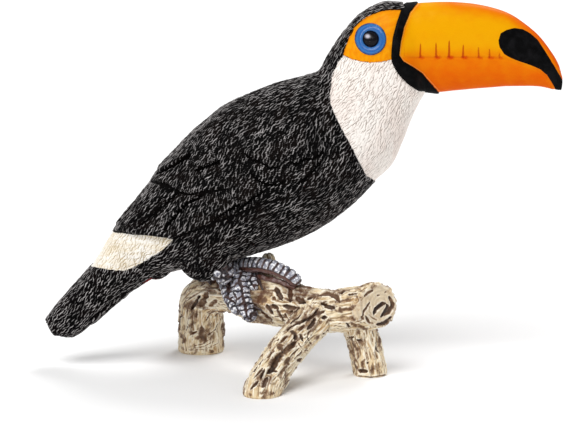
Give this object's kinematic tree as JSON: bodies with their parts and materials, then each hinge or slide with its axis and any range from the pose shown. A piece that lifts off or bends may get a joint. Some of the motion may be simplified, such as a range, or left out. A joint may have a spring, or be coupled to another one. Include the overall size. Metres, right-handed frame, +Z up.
{
  "type": "toucan figurine",
  "caption": "Hand-painted moulded toucan figurine standing on a short forked branch that rests on flat-bottomed legs.",
  "frame": {"origin": "middle of the footprint box, on the floor under the three legs", "axes": "+X the way the bill points, +Y the bird's left, +Z up"},
  "size_m": [0.072, 0.034, 0.0513],
  "materials": {
    "plumage": "matte black paint dry-brushed grey, with off-white bib and rump",
    "bill": "satin yellow-orange paint with a black base band and tip patch",
    "eye": "gloss blue ring around a black pupil",
    "foot": "matte lilac-grey paint with a dark brown wash",
    "bark": "matte cream and tan paint with a brown wash in the gouges"
  },
  "bodies": {
    "root": {"tail": "plumage", "trunk": "plumage", "neck": "plumage", "head": "plumage", "wing_right": "plumage", "wing_left": "plumage", "leg_right": "plumage", "leg_left": "plumage", "bill_upper": "bill", "bill_lower": "bill", "eye_right": "eye", "eye_left": "eye", "foot_right": "foot", "foot_left": "foot", "branch_perch": "bark", "branch_leg_rear": "bark", "branch_leg_front": "bark", "branch_leg_right": "bark", "branch_stub": "bark"}
  },
  "joints": []
}
